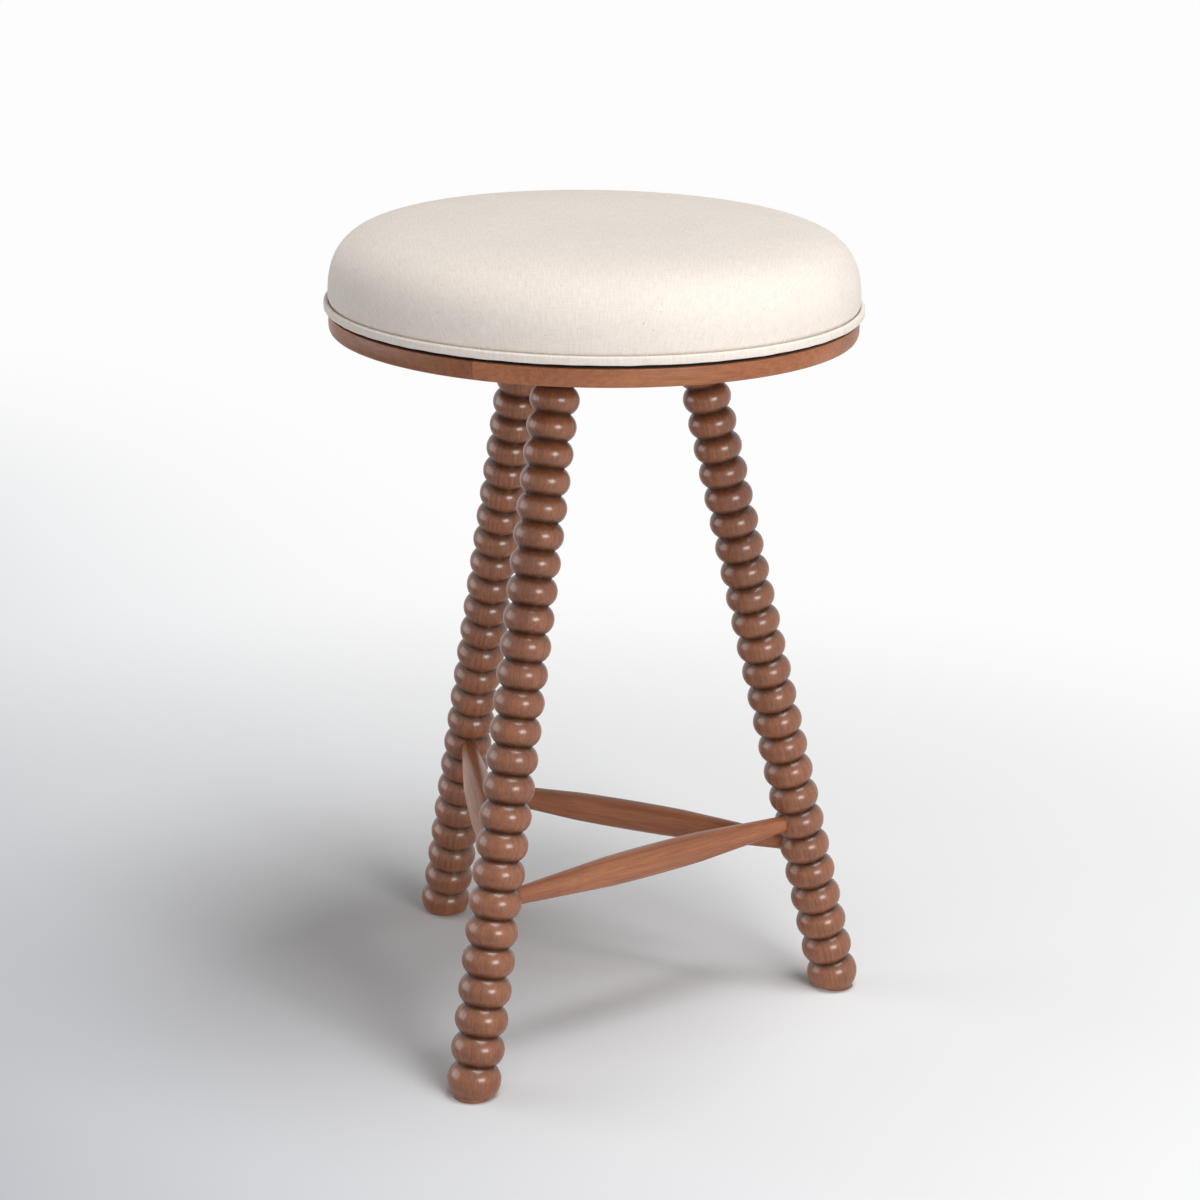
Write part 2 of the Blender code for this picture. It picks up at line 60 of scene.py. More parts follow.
# Legs: beads whose profile is a circular arc, a little smaller toward the top, and a lip at the foot
LEGS = ("front", "right", "rear")
LEG_STEPS = 56
BEADS = 25
BEAD_PITCH = 0.0227
PITCH_TAPER = 0.0686
BEAD_RADIUS = 0.0207
NECK_RADIUS = 0.0146
RADIUS_TAPER = 0.0415
BEAD_POINTS = 14
FIRST_BEAD_HEIGHT = 0.0145
FOOT_LIP_HEIGHT = 0.0030
FOOT_LIP_SET_IN = 0.0005
TENON_RADIUS = 0.0120
TENON_OVERLAP = 0.0100
TENON_STEPS = 40
KERF_TOP_WIDTH = 0.0030
KERF_TIP_WIDTH = 0.0014
KERF_DEPTH = 0.0093

# Stretchers: each joins two legs at the same bead
STRETCHERS = {
    "stretcher_low": ("right", "rear", 6),
    "stretcher_middle": ("front", "right", 7),
    "stretcher_high": ("rear", "front", 8),
}
STRETCHER_STEPS = 48
STRETCHER_END_RADIUS = 0.0072
STRETCHER_BREAK_RADIUS = 0.0123
STRETCHER_MIDDLE_RADIUS = 0.0129
STRETCHER_TAPER_SHARE = 0.32
STRETCHER_SWELL_POINTS = 12
STRETCHER_COLLAR = 0.0036
SOCKET_DEPTH = 0.0140

# Seat frame
RING_SEGMENTS = 4
RING_JOINT_AZIMUTH = math.radians(-91.4)
RING_WIDTH = 0.0280
RING_TOP_ROUND = 0.0007
RING_EDGE_HEIGHT = 0.0055
RING_EDGE_SET_IN = 0.0026
ROUND_POINTS = 6
SEGMENT_STEPS = 48
TONGUE_LENGTH = 0.0080
TONGUE_THICKNESS = 0.0050
SPLINE_SLOT = (0.0116, 0.0206, 0.0046)
SPLINE_FROM_EDGE = 0.0098
SEAT_STEPS = 192

# Cushion: a superellipse crown over a seam that a sewn band covers
CROWN_START_ABOVE_SEAM = 0.0035
CROWN_FLATNESS = 8.5
CROWN_SHOULDER = 2.5
CROWN_SAMPLES = 400
PAD_SEAM_DRAW_IN = 0.0008
PAD_TURN = 0.0032
CREASE_DRAW_IN = 0.0018
CREASE_DEPTH = 0.0016
CREASE_POINTS = 6
CUSHION_CELLS = 96
BAND_EDGE_ROUND = 0.0013
BAND_WAVE = 0.00022
BAND_WAVES = (23, 37, 61)
LINING_INSET = 0.0027

# Cloth simulation of the cushion: how far the crown's middle starts below its height, the radius within which
# it is slack, how far a point may move, the frames, and the cloth's pressure and stiffness
CUSHION_SLACK = 0.0024
CUSHION_SLACK_RADIUS = 0.1250
CUSHION_SWELL = 0.0030
CUSHION_FRAMES = 20
CUSHION_QUALITY = 5
CUSHION_PRESSURE = 1.0
CUSHION_TENSION = 200.0
CUSHION_SHEAR = 67.0
CUSHION_BENDING = 20.0

# Screws
SCREWS = 3
SCREW_STEPS = 32
SCREW_HEAD_RADIUS = 0.0042
SCREW_HEAD_HEIGHT = 0.0026
SCREW_RIM_HEIGHT = 0.0003
SCREW_RADIUS = 0.0020
SCREW_HOLE_RADIUS = SCREW_RADIUS + CLEAR
DRIVER_SLOT = (0.0059, 0.0010, 0.0024)

# Camera, fitted to the photograph: distance from the seat's axis, height, turns and a lens in pixels
PHOTO_SIDE = 1200
CAMERA_DISTANCE = 2.4211
CAMERA_HEIGHT = 1.1024
CAMERA_PITCH = math.radians(17.181)
CAMERA_YAW = math.radians(0.197)
CAMERA_ROLL = math.radians(0.9)
CAMERA_TURN = math.radians(23.675)
FOCAL_PIXELS = 3061.6
SENSOR_WIDTH = 36.0
CLIP_START = 0.05
CLIP_END = 100.0

# Colours, and the tone of each ring segment's wood
FABRIC = (0.785, 0.720, 0.660)
FABRIC_SHADE = (0.678, 0.606, 0.541)
FLECK = (0.450, 0.360, 0.270)
WOOD_LIGHT = (0.390, 0.152, 0.071)
WOOD_DARK = (0.250, 0.088, 0.042)
LEG_LIGHT = (0.303, 0.113, 0.052)
LEG_DARK = (0.165, 0.058, 0.028)
PALE_WOOD = (0.600, 0.430, 0.260)
PALE_WOOD_DARK = (0.460, 0.310, 0.170)
BLACK_CLOTH = (0.010, 0.009, 0.009)
STEEL = (0.550, 0.550, 0.560)
RING_TONES = (1.06, 1.00, 0.92, 0.79)

# Wood: scales of its noises across and along the grain, the growth rings, and each one's share in the tone
HAIR_SCALE = (1700, 1700, 40)
HAIR_SHARE = 0.42
FIBRE_SCALE = (480, 480, 10)
FIBRE_SHARE = 0.36
PATCH_SCALE = (30, 30, 8)
PATCH_SHARE = 0.50
WANDER_SCALE = (26, 26, 4)
GROWTH_RING_PITCH = 0.0052
GROWTH_RING_SLANT = 0.45
GROWTH_RING_WANDER = 0.030
GROWTH_RING_BAND = (-0.6, 1.0)
GROWTH_RING_SHARE = 0.045

# Wood: tones between which light turns to dark and smooth to rough, pores, and the bump
WOOD_TONES = (0.46, 0.86)
ROUGH_TONES = (0.4, 0.9)
STAINED_ROUGHNESS = (0.38, 0.50)
CORE_ROUGHNESS = (0.4, 0.55)
BARE_ROUGHNESS = (0.6, 0.75)
PORE_SCALE = (1500, 1500, 110)
PORE_EDGES = (0.62, 0.76)
PORE_SHADE = 0.80
PORE_BUMP_SHARE = 0.6
WOOD_BUMP = 0.00003
WOOD_SPECULAR = 0.12

# Painted shade in the grooves between beads, and the clear coat of each kind of piece
GROOVE_SHADE_DEPTH = 0.0058
LEG_GROOVE_SHADE = 0.32
COAT_ROUGHNESS = 0.24
COAT_IOR = 1.70
LEG_COAT = 0.50
STRETCHER_COAT = 0.30
RING_COAT = 0.14
CORE_COAT = 0.08

# Plywood: its plies' pitch and share in the tone, and its grain
PLY_PITCH = 0.0032
PLY_SHARE = 0.2
PLY_GRAIN_SCALE = (12, 420, 420)
PLY_TONES = (0.2, 0.8)
PLY_ROUGHNESS = 0.8
PLY_BUMP = 0.00008

# Linen: the weave's turn on the cushion, its pitch, scales of the noises along its two threads, and each
# one's share in the tone. The cushion's side begins a little below the crown's top
WEAVE_TURN = math.radians(23.0)
WEAVE_PITCH = 0.0011
WEAVE_BUMP_SHARE = 0.35
WARP_SCALE = (900, 75, 1)
WARP_SHARE = 0.56
WEFT_SCALE = (80, 900, 1)
WEFT_SHARE = 0.40
CLOUD_SCALE = (19, 19, 1)
CLOUD_SHARE = 0.12
SLUB_SCALE = (330, 60, 1)
SLUB_EDGES = (0.68, 0.82)
SLUB_TONE = 0.08
FLECK_SCALE = (420, 240, 1)
FLECK_EDGES = (0.80, 0.86)
FLECK_STRENGTH = 0.55
LINEN_TONES = (0.36, 0.76)
LINEN_ROUGHNESS = 0.92
LINEN_SPECULAR = 0.15
LINEN_SHEEN = 0.12
LINEN_SHEEN_ROUGHNESS = 0.45
LINEN_BUMP = 0.00008
LINEN_BUMP_STRENGTH = 0.7
SIDE_BELOW_CROWN = 0.0100

# Felt and steel: each noise turns the colour to a lighter or darker share of itself
FELT_SCALE = (900, 900, 900)
FELT_LIGHTER = 2.2
FELT_ROUGHNESS = 0.95
FELT_SPECULAR = 0.1
FELT_BUMP = 0.0003
BRUSH_SCALE = (2600, 2600, 300)
BRUSH_EDGES = (0.2, 0.8)
STEEL_DARKER = 0.8
STEEL_ROUGHNESS = (0.26, 0.44)
STEEL_BUMP = 0.00002

# Floor: white to the back and right, with painted shade that turns it greyer and cooler toward the front
# left.
# The painted shade begins at the edge, grows over the span down the slope, and fades out between its start
# and end distances from the stool. Between the far distances plain white takes the lit floor's place for the
# camera
FLOOR_HALF = 20.0
FLOOR_DROP = 0.0001
FLOOR_WHITE = (0.922, 0.930, 0.937)
FLOOR_PAINTED_SHADE = (0.500, 0.520, 0.560)
FLOOR_SLOPE = (0.90, 0.43)
FLOOR_EDGE = 0.60
FLOOR_SPAN = 1.25
PAINTED_SHADE_START = 1.70
PAINTED_SHADE_END = 2.90
FAR_START = 0.28
FAR_END = 1.25
BACKGROUND = 0.983

# Lamps: degrees round the stool from the camera toward its right, degrees above the aim, distance, size
# and watts
LAMPS = {
    "key": (54, 73, 3.2, (1.7, 1.7), 79),
    "front": (32, 12, 3.0, (1.3, 0.9), 53),
    "left": (-95, 8, 3.0, (2.4, 1.8), 37),
}
LAMP_AIM = Vector((0, 0, 0.45))
WORLD_LIGHT = 0.135


def middle_at(node, height):
    """Middle of a node's corners that lie at one height."""
    spots = [v.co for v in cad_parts[node].data.vertices if abs(v.co.z - height) < SAME_HEIGHT]
    low = Vector((min(s.x for s in spots), min(s.y for s in spots), height))
    high = Vector((max(s.x for s in spots), max(s.y for s in spots), height))
    return 0.5 * (low + high)


def reach(node):
    """Greatest distance of a node's corners from the seat's axis."""
    return max(math.hypot(v.co.x - AXIS.x, v.co.y - AXIS.y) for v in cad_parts[node].data.vertices)


# Places and sizes that the solids give
SEAT_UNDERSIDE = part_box("seat_core")[0].z
FRAME_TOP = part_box("seat_core")[1].z
AXIS = sum(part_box("cover_band"), Vector()) * 0.5
AXIS.z = 0.0
RING_RADIUS = reach("seat_ring_segment_1")
RING_INNER = RING_RADIUS - RING_WIDTH
PAD_RADIUS = reach("seat_cover")
PAD_BOTTOM, CROWN_TOP = (corner.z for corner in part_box("seat_cover"))
BAND_RADIUS = reach("cover_band")
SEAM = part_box("cover_band")[1].z
CROWN_START = SEAM + CROWN_START_ABOVE_SEAM
SEAM_RADIUS = PAD_RADIUS - PAD_SEAM_DRAW_IN
LINING_BOTTOM, LINING_TOP = (corner.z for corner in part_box("dust_cover"))


def close_and_orient(bm):
    """Merge corners that lie together, fill open holes and turn the faces outward."""
    bmesh.ops.remove_doubles(bm, verts=bm.verts[:], dist=SAME_SPOT)
    bmesh.ops.holes_fill(bm, edges=bm.edges[:], sides=0)
    bmesh.ops.recalc_face_normals(bm, faces=bm.faces[:])
    if bm.calc_volume(signed=True) < 0:
        bmesh.ops.reverse_faces(bm, faces=bm.faces[:])


def turned(points, steps, closed=False, angle=2 * math.pi, start=0.0):
    """Spin (radius, height) points about Z. A closed outline makes a ring."""
    bm = bmesh.new()
    verts = [bm.verts.new((r * math.cos(start), r * math.sin(start), z)) for r, z in points]
    edges = [bm.edges.new(pair) for pair in zip(verts, verts[1:])]
    if closed:
        edges.append(bm.edges.new((verts[-1], verts[0])))
    bmesh.ops.spin(bm, geom=verts + edges, cent=(0, 0, 0), axis=(0, 0, 1), angle=angle, steps=steps)
    close_and_orient(bm)
    return bm


def cut_by_plane(bm, point, normal):
    """Take away what lies beyond the plane and close the cut."""
    geom = bm.verts[:] + bm.edges[:] + bm.faces[:]
    bmesh.ops.bisect_plane(bm, geom=geom, plane_co=point, plane_no=normal, clear_outer=True)
    close_and_orient(bm)


def add_prism(bm, outline, half_length, place):
    """Extrude an (x, z) outline by half_length each way along Y, then place it."""
    rows = []
    for y in (-half_length, half_length):
        rows.append([bm.verts.new(place @ Vector((x, y, z))) for x, z in outline])
    low, high = rows
    faces = [bm.faces.new(low), bm.faces.new(list(reversed(high)))]
    for i in range(len(outline)):
        j = (i + 1) % len(outline)
        faces.append(bm.faces.new((low[j], low[i], high[i], high[j])))
    bmesh.ops.recalc_face_normals(bm, faces=faces)


def add_box(bm, size, place):
    """Add a placed box about its middle."""
    x, z = 0.5 * size[0], 0.5 * size[2]
    add_prism(bm, [(-x, -z), (x, -z), (x, z), (-x, z)], 0.5 * size[1], place)


def add_copy(bm, source, place):
    """Add a placed copy of another mesh to this one."""
    table = {v: bm.verts.new(place @ v.co) for v in source.verts}
    for face in source.faces:
        bm.faces.new([table[v] for v in face.verts])


def arc_points(middle, radii, first, last, count):
    """Points of an elliptic arc round a middle, between two turns in degrees."""
    points = []
    for i in range(count + 1):
        turn = math.radians(first + (last - first) * i / count)
        points.append((middle[0] + radii[0] * math.cos(turn), middle[1] + radii[1] * math.sin(turn)))
    return points


def new_object(name, bm):
    """Put a finished mesh in the scene as an object."""
    mesh = bpy.data.meshes.new(name)
    bm.to_mesh(mesh)
    bm.free()
    item = bpy.data.objects.new(name, mesh)
    bpy.context.scene.collection.objects.link(item)
    return item


def apply_modifiers(item):
    """Keep the item's mesh as its modifiers leave it."""
    graph = bpy.context.evaluated_depsgraph_get()
    mesh = bpy.data.meshes.new_from_object(item.evaluated_get(graph))
    item.modifiers.clear()
    old = item.data
    item.data = mesh
    bpy.data.meshes.remove(old)
    mesh.name = item.name


def combine(item, bm, operation):
    """Join a mesh to the item, or cut it out, in the item's own coordinates."""
    tool = new_object("tool", bm)
    mod = item.modifiers.new("combine", "BOOLEAN")
    mod.operation = operation
    mod.solver = "EXACT"
    mod.object = tool
    apply_modifiers(item)
    mesh = tool.data
    bpy.data.objects.remove(tool)
    bpy.data.meshes.remove(mesh)


def finish_piece(item, place, look, slot, *nodes, smooth_below=SMOOTH_BELOW):
    """Move a piece's mesh to its place, shade and paint it, and hide the solids it stands for."""
    item.data.transform(place)
    item.data.materials.clear()
    item.data.materials.append(look)
    item.data.shade_smooth()
    item.data.set_sharp_from_angle(angle=math.radians(smooth_below))
    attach(item, "root")
    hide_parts(*nodes)


class Look:
    """A material and a short way to add nodes to it."""

    def __init__(self, name):
        self.material = bpy.data.materials.new(name)
        self.material.use_nodes = True
        self.tree = self.material.node_tree
        self.shader = self.tree.nodes["Principled BSDF"]

    def put(self, socket, value):
        """Link a node's output to a socket, or set the socket to a value."""
        if isinstance(value, bpy.types.NodeSocket):
            self.tree.links.new(value, socket)
        else:
            socket.default_value = value

    def add(self, kind, **settings):
        """A new node of a kind, with its settings."""
        node = self.tree.nodes.new("ShaderNode" + kind)
        for name, value in settings.items():
            setattr(node, name, value)
        return node

    def math(self, operation, *values):
        """Output of an arithmetic step on values or other outputs."""
        node = self.add("Math", operation=operation)
        for socket, value in zip(node.inputs, values):
            self.put(socket, value)
        return node.outputs[0]

    def total(self, *parts):
        """Sum of values that each come with a weight."""
        terms = [self.math("MULTIPLY", value, weight) for value, weight in parts]
        result = terms[0]
        for term in terms[1:]:
            result = self.math("ADD", result, term)
        return result

    def distance(self, x, y):
        """Distance from the point where both are zero."""
        return self.math("SQRT", self.math("ADD", self.math("POWER", x, 2.0), self.math("POWER", y, 2.0)))

    def spot(self, place):
        """Where a point is in the coordinates that a placing matrix starts from."""
        node = self.add("Mapping", vector_type="TEXTURE")
        self.put(node.inputs["Vector"], self.add("TexCoord").outputs["Object"])
        node.inputs["Location"].default_value = place.translation
        node.inputs["Rotation"].default_value = place.to_euler()
        return node.outputs[0]

    def axes(self, vector):
        """The three numbers of a vector."""
        node = self.add("SeparateXYZ")
        self.put(node.inputs[0], vector)
        return node.outputs

    def shifted(self, vector, shift):
        """A vector with a shift added."""
        node = self.add("VectorMath", operation="ADD")
        self.put(node.inputs[0], vector)
        node.inputs[1].default_value = shift
        return node.outputs[0]

    def scaled(self, vector, scale):
        """A vector with each of its numbers multiplied."""
        node = self.add("VectorMath", operation="MULTIPLY")
        self.put(node.inputs[0], vector)
        node.inputs[1].default_value = scale
        return node.outputs[0]

    def noise(self, vector, detail, roughness=0.5):
        """Noise at a vector that already has its scale."""
        node = self.add("TexNoise")
        self.put(node.inputs["Vector"], vector)
        node.inputs["Scale"].default_value = 1.0
        node.inputs["Detail"].default_value = detail
        node.inputs["Roughness"].default_value = roughness
        return node.outputs["Fac"]

    def spread(self, value, low, high, to_low=0.0, to_high=1.0):
        """Map a value from one range to another, held at the ends."""
        node = self.add("MapRange", interpolation_type="SMOOTHSTEP")
        for socket, number in zip(node.inputs, (value, low, high, to_low, to_high)):
            self.put(socket, number)
        return node.outputs[0]

    def mix(self, factor, first, second, blend="MIX"):
        """Two colours blended by a factor."""
        node = self.add("Mix", data_type="RGBA", blend_type=blend)
        self.put(node.inputs[0], factor)
        for socket, colour in ((node.inputs[6], first), (node.inputs[7], second)):
            self.put(socket, (*colour, 1.0) if isinstance(colour, tuple) else colour)
        return node.outputs[2]

    def grey(self, value):
        """A value as a colour, to multiply another colour with."""
        node = self.add("CombineColor")
        for socket in node.inputs:
            self.put(socket, value)
        return node.outputs[0]

    def bump(self, height, distance, strength=1.0):
        """Raise the surface by a height that counts this distance."""
        node = self.add("Bump")
        self.put(node.inputs["Height"], height)
        node.inputs["Distance"].default_value = distance
        node.inputs["Strength"].default_value = strength
        self.put(self.shader.inputs["Normal"], node.outputs[0])


def wood_look(name, place, light, dark, shift, coat, groove_shade=1.0, roughness=STAINED_ROUGHNESS):
    """Fine-grained wood whose grain runs along the place's Z. The shift picks a part of the grain.

    A groove shade below 1 darkens the grooves between a leg's beads to that share of the colour, as painted
    shade.
    """
    look = Look(name)
    own = look.spot(place)
    spot = look.shifted(own, shift)
    hairs = look.noise(look.scaled(spot, HAIR_SCALE), detail=2)
    fibres = look.noise(look.scaled(spot, FIBRE_SCALE), detail=3)
    pores = look.noise(look.scaled(spot, PORE_SCALE), detail=1)
    patches = look.noise(look.scaled(spot, PATCH_SCALE), detail=3, roughness=0.6)
    wander = look.noise(look.scaled(spot, WANDER_SCALE), detail=3)
    x, y, _ = look.axes(spot)
    across = look.total((x, 1.0), (y, GROWTH_RING_SLANT), (wander, GROWTH_RING_WANDER))
    rings = look.math("SINE", look.math("MULTIPLY", across, 2 * math.pi / GROWTH_RING_PITCH))
    rings = look.spread(rings, *GROWTH_RING_BAND)
    tone = look.total((hairs, HAIR_SHARE), (fibres, FIBRE_SHARE), (patches, PATCH_SHARE),
                      (rings, GROWTH_RING_SHARE))
    colour = look.mix(look.spread(tone, *WOOD_TONES), light, dark)
    pore = look.spread(pores, *PORE_EDGES, 1.0, PORE_SHADE)
    colour = look.mix(1.0, colour, look.grey(pore), "MULTIPLY")
    if groove_shade < 1:
        # Painted shade: the colour darkens toward the necks, where the beads shade each other
        x, y, z = look.axes(own)
        groove = look.spread(look.distance(x, y), NECK_RADIUS, NECK_RADIUS + GROOVE_SHADE_DEPTH, groove_shade, 1.0)
        # The foot narrows like a groove but takes no painted shade
        foot = look.spread(z, 0.5 * FIRST_BEAD_HEIGHT, FIRST_BEAD_HEIGHT, 1.0, 0.0)
        colour = look.mix(1.0, colour, look.grey(look.math("MAXIMUM", groove, foot)), "MULTIPLY")
    look.put(look.shader.inputs["Base Color"], colour)
    look.put(look.shader.inputs["Roughness"], look.spread(tone, *ROUGH_TONES, *roughness))
    look.shader.inputs["Coat Weight"].default_value = coat
    look.shader.inputs["Coat Roughness"].default_value = COAT_ROUGHNESS
    look.shader.inputs["Coat IOR"].default_value = COAT_IOR
    look.shader.inputs["Specular IOR Level"].default_value = WOOD_SPECULAR
    look.bump(look.total((hairs, 1.0), (pore, PORE_BUMP_SHARE)), WOOD_BUMP)
    return look.material


def fabric_look(name, along):
    """Plain-woven linen. Its threads follow the lengths u and v on the cloth, which along() gives."""
    look = Look(name)
    place = Matrix.Translation(AXIS + Vector((0, 0, PAD_BOTTOM))) @ Matrix.Rotation(WEAVE_TURN, 4, "Z")
    u, v = along(look, *look.axes(look.spot(place)))
    cloth = look.add("CombineXYZ")
    look.put(cloth.inputs[0], u)
    look.put(cloth.inputs[1], v)
    cloth = cloth.outputs[0]
    warp_threads = look.noise(look.scaled(cloth, WARP_SCALE), detail=2)
    weft_threads = look.noise(look.scaled(cloth, WEFT_SCALE), detail=2)
    slubs = look.noise(look.scaled(cloth, SLUB_SCALE), detail=1)
    flecks = look.noise(look.scaled(cloth, FLECK_SCALE), detail=0)
    clouds = look.noise(look.scaled(cloth, CLOUD_SCALE), detail=3)
    turns = 2 * math.pi / WEAVE_PITCH
    ribs_u = look.math("SINE", look.math("MULTIPLY", u, turns))
    ribs_v = look.math("SINE", look.math("MULTIPLY", v, turns))
    weave = look.math("MULTIPLY", ribs_u, ribs_v)
    slubs = look.spread(slubs, *SLUB_EDGES, 0.0, SLUB_TONE)
    tone = look.total((warp_threads, WARP_SHARE), (weft_threads, WEFT_SHARE), (clouds, CLOUD_SHARE),
                      (slubs, 1.0))
    colour = look.mix(look.spread(tone, *LINEN_TONES), FABRIC, FABRIC_SHADE)
    colour = look.mix(look.spread(flecks, *FLECK_EDGES, 0.0, FLECK_STRENGTH), colour, FLECK)
    look.put(look.shader.inputs["Base Color"], colour)
    look.shader.inputs["Roughness"].default_value = LINEN_ROUGHNESS
    look.shader.inputs["Specular IOR Level"].default_value = LINEN_SPECULAR
    look.shader.inputs["Sheen Weight"].default_value = LINEN_SHEEN
    look.shader.inputs["Sheen Roughness"].default_value = LINEN_SHEEN_ROUGHNESS
    look.bump(look.total((weave, WEAVE_BUMP_SHARE), (tone, 1.0)), LINEN_BUMP, LINEN_BUMP_STRENGTH)
    return look.material


def unrolled_cushion(look, x, y, z):
    """Lengths along the cloth from the crown's middle: the side counts as its drop below the top."""
    side_top = CROWN_TOP - PAD_BOTTOM - SIDE_BELOW_CROWN
    radius = look.distance(x, y)
    drop = look.math("MAXIMUM", look.math("SUBTRACT", side_top, z), 0.0)
    stretch = look.math("ADD", look.math("DIVIDE", drop, look.math("MAXIMUM", radius, 0.001)), 1.0)
    return look.math("MULTIPLY", x, stretch), look.math("MULTIPLY", y, stretch)


def unrolled_band(look, x, y, z):
    """Lengths along and up the band. Its start is at the back."""
    turn = look.math("ARCTAN2", x, look.math("MULTIPLY", y, -1.0))
    return look.math("MULTIPLY", turn, BAND_RADIUS), z


def felt_look(name):
    """Matt black felt."""
    look = Look(name)
    felt = look.noise(look.scaled(look.spot(Matrix()), FELT_SCALE), detail=3)
    colour = look.mix(felt, BLACK_CLOTH, tuple(FELT_LIGHTER * c for c in BLACK_CLOTH))
    look.put(look.shader.inputs["Base Color"], colour)
    look.shader.inputs["Roughness"].default_value = FELT_ROUGHNESS
    look.shader.inputs["Specular IOR Level"].default_value = FELT_SPECULAR
    look.bump(felt, FELT_BUMP)
    return look.material


def steel_look(name):
    """Lightly brushed steel."""
    look = Look(name)
    brush = look.noise(look.scaled(look.spot(Matrix()), BRUSH_SCALE), detail=2)
    colour = look.mix(brush, STEEL, tuple(STEEL_DARKER * c for c in STEEL))
    look.put(look.shader.inputs["Base Color"], colour)
    look.shader.inputs["Metallic"].default_value = 1.0
    look.put(look.shader.inputs["Roughness"], look.spread(brush, *BRUSH_EDGES, *STEEL_ROUGHNESS))
    look.bump(brush, STEEL_BUMP)
    return look.material


def plywood_look(name):
    """Pale plies that show as stripes on the board's edge."""
    look = Look(name)
    spot = look.spot(Matrix())
    plies = look.math("SINE", look.math("MULTIPLY", look.axes(spot)[2], 2 * math.pi / PLY_PITCH))
    grain = look.noise(look.scaled(spot, PLY_GRAIN_SCALE), detail=3)
    tone = look.total((plies, PLY_SHARE), (grain, 1.0))
    colour = look.mix(look.spread(tone, *PLY_TONES), PALE_WOOD, PALE_WOOD_DARK)
    look.put(look.shader.inputs["Base Color"], colour)
    look.shader.inputs["Roughness"].default_value = PLY_ROUGHNESS
    look.bump(grain, PLY_BUMP)
    return look.material


def leg_frame(leg):
    """Place of a leg: its origin on the floor, its Z up the leg."""
    foot = middle_at("leg_" + leg, 0.0)
    top = middle_at("leg_" + leg, FRAME_TOP)
    up = (top - foot).normalized()
    away = (foot - AXIS).normalized()
    side = Vector((-away.y, away.x, 0))
    out = side.cross(up).normalized()
    side = up.cross(out)
    turn = Matrix((out, side, up)).transposed().to_4x4()
    return Matrix.Translation(foot) @ turn


def bead_height(number):
    """Height up the leg of a bead's middle. Half numbers are the necks between beads."""
    steps = number - 1
    return FIRST_BEAD_HEIGHT + BEAD_PITCH * steps * (1 + PITCH_TAPER * (1 - steps / (BEADS - 1)))


def bead_size(number):
    """How much wider than the middle bead the leg is turned at a bead."""
    return 1 + RADIUS_TAPER * (1 - 2 * (number - 1) / (BEADS - 1))


def bead_point(leg, number):
    """Middle of a leg's bead."""
    return leg_frame(leg) @ Vector((0, 0, bead_height(number)))


def stretcher_frame(start, end, number):
    """Place of a stretcher, from the first leg's centre line with Z toward the second, and its span."""
    first = bead_point(start, number)
    second = bead_point(end, number)
    along = (second - first).normalized()
    side = Vector((0, 0, 1)).cross(along)
    turn = Matrix((side, along.cross(side), along)).transposed().to_4x4()
    return Matrix.Translation(first) @ turn, (second - first).length


def bead_outline(length):
    """Radii and heights of the turned leg from below the floor to past the seat's underside."""
    half = 0.5 * BEAD_PITCH
    drop = BEAD_RADIUS - NECK_RADIUS
    arc = (half * half + drop * drop) / (2 * drop)

    def radius(share):
        """Radius at a share of the way from a bead's middle to its neck."""
        return BEAD_RADIUS - arc + math.sqrt(arc * arc - (share * half) ** 2)

    # The first bead's lower half is longer than the others and narrows to its neck at the floor
    points = [(NECK_RADIUS * bead_size(0.5), -FIRST_BEAD_HEIGHT)]
    for i in range(BEAD_POINTS):
        share = 1 - i / BEAD_POINTS
        points.append((radius(share) * bead_size(1 - 0.5 * share), FIRST_BEAD_HEIGHT * (1 - share)))
    number = 1
    while bead_height(number - 0.5) < length + BEAD_RADIUS:
        for i in range(BEAD_POINTS):
            step = i / BEAD_POINTS
            share = 2 * min(step, 1 - step)
            points.append((radius(share) * bead_size(number + step), bead_height(number + step)))
        number += 1
    return points


def stretcher_outline(length):
    """Radii and distances along a stretcher: plain ends, straight tapers and a slight swell between them."""
    tip = BEAD_RADIUS - SOCKET_DEPTH
    bare = BEAD_RADIUS + STRETCHER_COLLAR
    lower = bare + STRETCHER_TAPER_SHARE * (length - 2 * bare)
    half = 0.5 * length
    rise = STRETCHER_MIDDLE_RADIUS - STRETCHER_BREAK_RADIUS
    points = [(STRETCHER_END_RADIUS, tip), (STRETCHER_END_RADIUS, bare)]
    for i in range(STRETCHER_SWELL_POINTS + 1):
        share = 2 * i / STRETCHER_SWELL_POINTS - 1
        points.append((STRETCHER_BREAK_RADIUS + rise * (1 - share * share), half + share * (half - lower)))
    return points + [(STRETCHER_END_RADIUS, length - bare), (STRETCHER_END_RADIUS, length - tip)]


